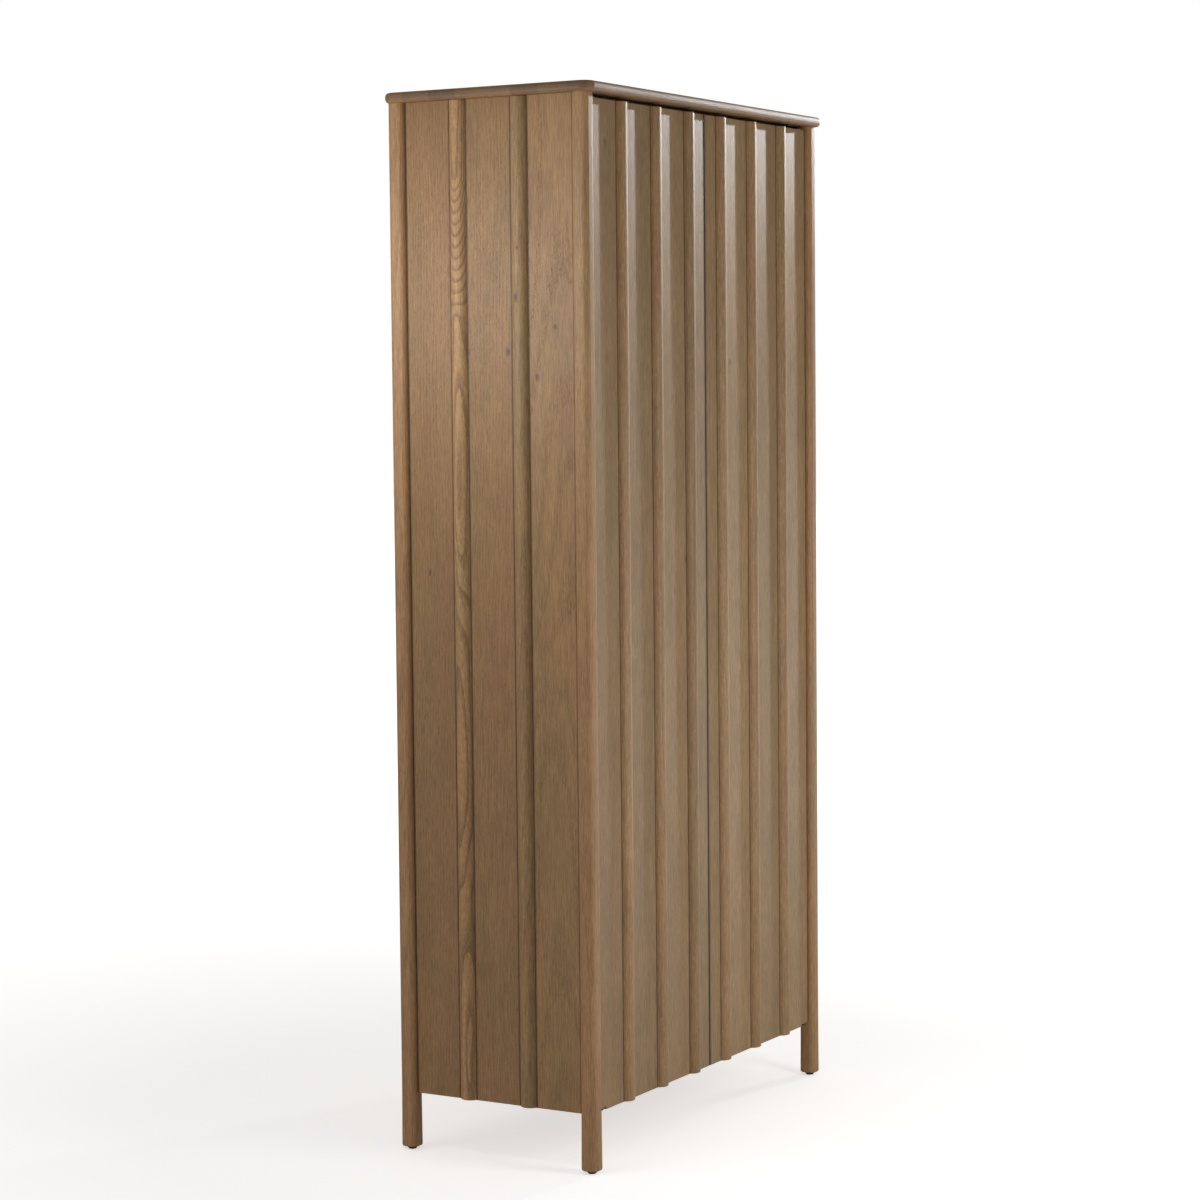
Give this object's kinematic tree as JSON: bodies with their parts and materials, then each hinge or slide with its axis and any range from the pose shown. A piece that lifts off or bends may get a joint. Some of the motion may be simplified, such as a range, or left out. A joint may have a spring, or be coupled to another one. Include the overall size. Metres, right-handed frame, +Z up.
{
  "type": "pantry cabinet",
  "caption": "Tall two-door oak pantry cabinet on post legs, with vertical ribs on doors and sides, a thin rounded top slab, shelves inside and push latches.",
  "frame": {"origin": "on the floor under the middle of the slab top", "axes": "+Z up, doors face -Y, +X towards the right-hand door seen from the front"},
  "size_m": [1.017, 0.472, 2.1],
  "materials": {
    "slab_oak": "smoked oak, matt lacquer",
    "post_oak": "smoked oak, matt lacquer",
    "side_oak": "smoked oak veneer, matt lacquer",
    "rib_oak": "smoked oak, matt lacquer",
    "door_oak": "smoked oak veneer, matt lacquer",
    "interior_veneer": "oak veneer, clear matt",
    "screw_steel": "zinc plated",
    "hinge_steel": "satin",
    "zinc": "zinc plated",
    "brass": "satin",
    "black_nylon": "moulded",
    "grey_nylon": "moulded"
  },
  "bodies": {
    "carcass": {"top_slab": "slab_oak", "post_front_left": "post_oak", "post_front_right": "post_oak", "post_rear_left": "post_oak", "post_rear_right": "post_oak", "side_panel_left": "side_oak", "side_panel_right": "side_oak", "side_rib_left_front": "rib_oak", "side_rib_left_rear": "rib_oak", "side_rib_right_front": "rib_oak", "side_rib_right_rear": "rib_oak", "back_panel": "interior_veneer", "bottom_panel": "interior_veneer", "sub_top": "interior_veneer", "wall_rail": "interior_veneer", "fixed_shelf": "interior_veneer", "loose_shelf_1": "interior_veneer", "loose_shelf_2": "interior_veneer", "loose_shelf_3": "interior_veneer", "loose_shelf_4": "interior_veneer", "shelf_pins": "zinc", "slab_screws": "screw_steel", "back_screws": "screw_steel", "hinge_screws": "screw_steel", "hinge_leaf_top_left": "hinge_steel", "hinge_leaf_top_right": "hinge_steel", "hinge_leaf_bottom_left": "hinge_steel", "hinge_leaf_bottom_right": "hinge_steel", "latch_housing_left": "grey_nylon", "latch_housing_right": "grey_nylon", "latch_spring_left": "hinge_steel", "latch_spring_right": "hinge_steel", "door_bumpers": "grey_nylon", "foot_inserts": "brass"},
    "door_left": {"door_panel_left": "door_oak", "door_rib_left_outer": "rib_oak", "door_rib_left_middle": "rib_oak", "door_rib_left_inner": "rib_oak", "hinge_bushes_left": "brass", "strike_disc_left": "hinge_steel"},
    "door_right": {"door_panel_right": "door_oak", "door_rib_right_outer": "rib_oak", "door_rib_right_middle": "rib_oak", "door_rib_right_inner": "rib_oak", "hinge_bushes_right": "brass", "strike_disc_right": "hinge_steel"},
    "latch_left": {"latch_plunger_left": "black_nylon"},
    "latch_right": {"latch_plunger_right": "black_nylon"},
    "foot_front_left": {"foot_front_left": "black_nylon"},
    "foot_front_right": {"foot_front_right": "black_nylon"},
    "foot_rear_left": {"foot_rear_left": "black_nylon"},
    "foot_rear_right": {"foot_rear_right": "black_nylon"}
  },
  "joints": [
    {"name": "door_left_swing", "type": "hinge", "parent": "carcass", "child": "door_left", "pos_m": [-0.4445, -0.202, 1.094], "axis": [0, 0, -1], "range_deg": [0, 105]},
    {"name": "door_right_swing", "type": "hinge", "parent": "carcass", "child": "door_right", "pos_m": [0.4445, -0.202, 1.094], "axis": [0, 0, 1], "range_deg": [0, 105]},
    {"name": "latch_left_push", "type": "slide", "parent": "carcass", "child": "latch_left", "axis": [0, 1, 0], "range_m": [0, 0.003], "stiffness_N_per_m": 250, "deforming": ["latch_spring_left"]},
    {"name": "latch_right_push", "type": "slide", "parent": "carcass", "child": "latch_right", "axis": [0, 1, 0], "range_m": [0, 0.003], "stiffness_N_per_m": 250, "deforming": ["latch_spring_right"]},
    {"name": "foot_front_left_level", "type": "slide", "parent": "carcass", "child": "foot_front_left", "axis": [0, 0, -1], "range_m": [0, 0.008]},
    {"name": "foot_front_right_level", "type": "slide", "parent": "carcass", "child": "foot_front_right", "axis": [0, 0, -1], "range_m": [0, 0.008]},
    {"name": "foot_rear_left_level", "type": "slide", "parent": "carcass", "child": "foot_rear_left", "axis": [0, 0, -1], "range_m": [0, 0.008]},
    {"name": "foot_rear_right_level", "type": "slide", "parent": "carcass", "child": "foot_rear_right", "axis": [0, 0, -1], "range_m": [0, 0.008]}
  ]
}
